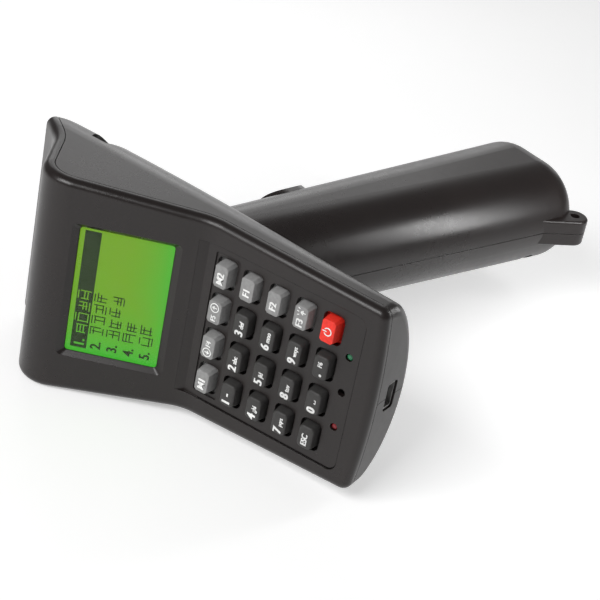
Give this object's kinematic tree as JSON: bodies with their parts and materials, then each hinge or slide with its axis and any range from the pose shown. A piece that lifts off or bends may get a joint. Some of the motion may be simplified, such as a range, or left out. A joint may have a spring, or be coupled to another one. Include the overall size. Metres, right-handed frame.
{
  "type": "handheld data terminal",
  "caption": "Pistol-grip handheld barcode data terminal with a tilted screen, a number keypad and a trigger.",
  "frame": {"origin": "middle of the user's left side, on which the terminal lies, at the bottom of the bounding box", "axes": "+X from the nose towards the keypad's end, +Y from the face down the grip, +Z to the user's right"},
  "size_m": [0.12, 0.1698, 0.0653],
  "materials": {
    "housing": "satin",
    "dark_key": "matte",
    "grey_key": "matte",
    "power_key": "matte",
    "window": "clear",
    "lcd": "gloss",
    "lamp_green": "gloss",
    "lamp_red": "gloss",
    "scan_pane": "tinted",
    "lens": "gloss",
    "board": "solder mask",
    "dome": "film",
    "inner_plastic": "moulded",
    "metal": "plated",
    "cell": "sleeved",
    "screw": "black zinc"
  },
  "bodies": {
    "housing": {"front_cover": "housing", "shell_right": "housing", "shell_left": "housing", "screen_window": "window", "screen_panel": "lcd", "screen_backlight": "inner_plastic", "screen_board": "board", "main_board": "board", "dome_sheet": "dome", "lamp_green": "lamp_green", "lamp_red": "lamp_red", "buzzer": "inner_plastic", "usb_port": "metal", "board_can": "metal", "scan_window": "scan_pane", "scan_engine": "inner_plastic", "scan_lens": "lens", "trigger_switch": "inner_plastic", "switch_board": "board", "battery": "cell", "contact_front": "metal", "contact_back": "metal", "cover_screws": "screw", "grip_screws": "screw"},
    "trigger": {"trigger": "housing"},
    "key_m1": {"key_m1": "grey_key"},
    "key_f4": {"key_f4": "grey_key"},
    "key_f5": {"key_f5": "grey_key"},
    "key_m2": {"key_m2": "grey_key"},
    "key_1": {"key_1": "dark_key"},
    "key_2": {"key_2": "dark_key"},
    "key_3": {"key_3": "dark_key"},
    "key_f1": {"key_f1": "grey_key"},
    "key_4": {"key_4": "dark_key"},
    "key_5": {"key_5": "dark_key"},
    "key_6": {"key_6": "dark_key"},
    "key_f2": {"key_f2": "grey_key"},
    "key_7": {"key_7": "dark_key"},
    "key_8": {"key_8": "dark_key"},
    "key_9": {"key_9": "dark_key"},
    "key_f3": {"key_f3": "grey_key"},
    "key_esc": {"key_esc": "dark_key"},
    "key_0": {"key_0": "dark_key"},
    "key_dot": {"key_dot": "dark_key"},
    "key_power": {"key_power": "power_key"}
  },
  "joints": [
    {"name": "key_m1_press", "type": "slide", "parent": "housing", "child": "key_m1", "axis": [0, 1, 0], "range_m": [0, 0.0008], "stiffness_N_per_m": 500},
    {"name": "key_f4_press", "type": "slide", "parent": "housing", "child": "key_f4", "axis": [0, 1, 0], "range_m": [0, 0.0008], "stiffness_N_per_m": 500},
    {"name": "key_f5_press", "type": "slide", "parent": "housing", "child": "key_f5", "axis": [0, 1, 0], "range_m": [0, 0.0008], "stiffness_N_per_m": 500},
    {"name": "key_m2_press", "type": "slide", "parent": "housing", "child": "key_m2", "axis": [0, 1, 0], "range_m": [0, 0.0008], "stiffness_N_per_m": 500},
    {"name": "key_1_press", "type": "slide", "parent": "housing", "child": "key_1", "axis": [0, 1, 0], "range_m": [0, 0.0008], "stiffness_N_per_m": 500},
    {"name": "key_2_press", "type": "slide", "parent": "housing", "child": "key_2", "axis": [0, 1, 0], "range_m": [0, 0.0008], "stiffness_N_per_m": 500},
    {"name": "key_3_press", "type": "slide", "parent": "housing", "child": "key_3", "axis": [0, 1, 0], "range_m": [0, 0.0008], "stiffness_N_per_m": 500},
    {"name": "key_f1_press", "type": "slide", "parent": "housing", "child": "key_f1", "axis": [0, 1, 0], "range_m": [0, 0.0008], "stiffness_N_per_m": 500},
    {"name": "key_4_press", "type": "slide", "parent": "housing", "child": "key_4", "axis": [0, 1, 0], "range_m": [0, 0.0008], "stiffness_N_per_m": 500},
    {"name": "key_5_press", "type": "slide", "parent": "housing", "child": "key_5", "axis": [0, 1, 0], "range_m": [0, 0.0008], "stiffness_N_per_m": 500},
    {"name": "key_6_press", "type": "slide", "parent": "housing", "child": "key_6", "axis": [0, 1, 0], "range_m": [0, 0.0008], "stiffness_N_per_m": 500},
    {"name": "key_f2_press", "type": "slide", "parent": "housing", "child": "key_f2", "axis": [0, 1, 0], "range_m": [0, 0.0008], "stiffness_N_per_m": 500},
    {"name": "key_7_press", "type": "slide", "parent": "housing", "child": "key_7", "axis": [0, 1, 0], "range_m": [0, 0.0008], "stiffness_N_per_m": 500},
    {"name": "key_8_press", "type": "slide", "parent": "housing", "child": "key_8", "axis": [0, 1, 0], "range_m": [0, 0.0008], "stiffness_N_per_m": 500},
    {"name": "key_9_press", "type": "slide", "parent": "housing", "child": "key_9", "axis": [0, 1, 0], "range_m": [0, 0.0008], "stiffness_N_per_m": 500},
    {"name": "key_f3_press", "type": "slide", "parent": "housing", "child": "key_f3", "axis": [0, 1, 0], "range_m": [0, 0.0008], "stiffness_N_per_m": 500},
    {"name": "key_esc_press", "type": "slide", "parent": "housing", "child": "key_esc", "axis": [0, 1, 0], "range_m": [0, 0.0008], "stiffness_N_per_m": 500},
    {"name": "key_0_press", "type": "slide", "parent": "housing", "child": "key_0", "axis": [0, 1, 0], "range_m": [0, 0.0008], "stiffness_N_per_m": 500},
    {"name": "key_dot_press", "type": "slide", "parent": "housing", "child": "key_dot", "axis": [0, 1, 0], "range_m": [0, 0.0008], "stiffness_N_per_m": 500},
    {"name": "key_power_press", "type": "slide", "parent": "housing", "child": "key_power", "axis": [0, 1, 0], "range_m": [0, 0.0008], "stiffness_N_per_m": 500},
    {"name": "trigger_pull", "type": "slide", "parent": "housing", "child": "trigger", "axis": [0.9568, -0.2907, 0], "range_m": [0, 0.0018], "stiffness_N_per_m": 800}
  ]
}
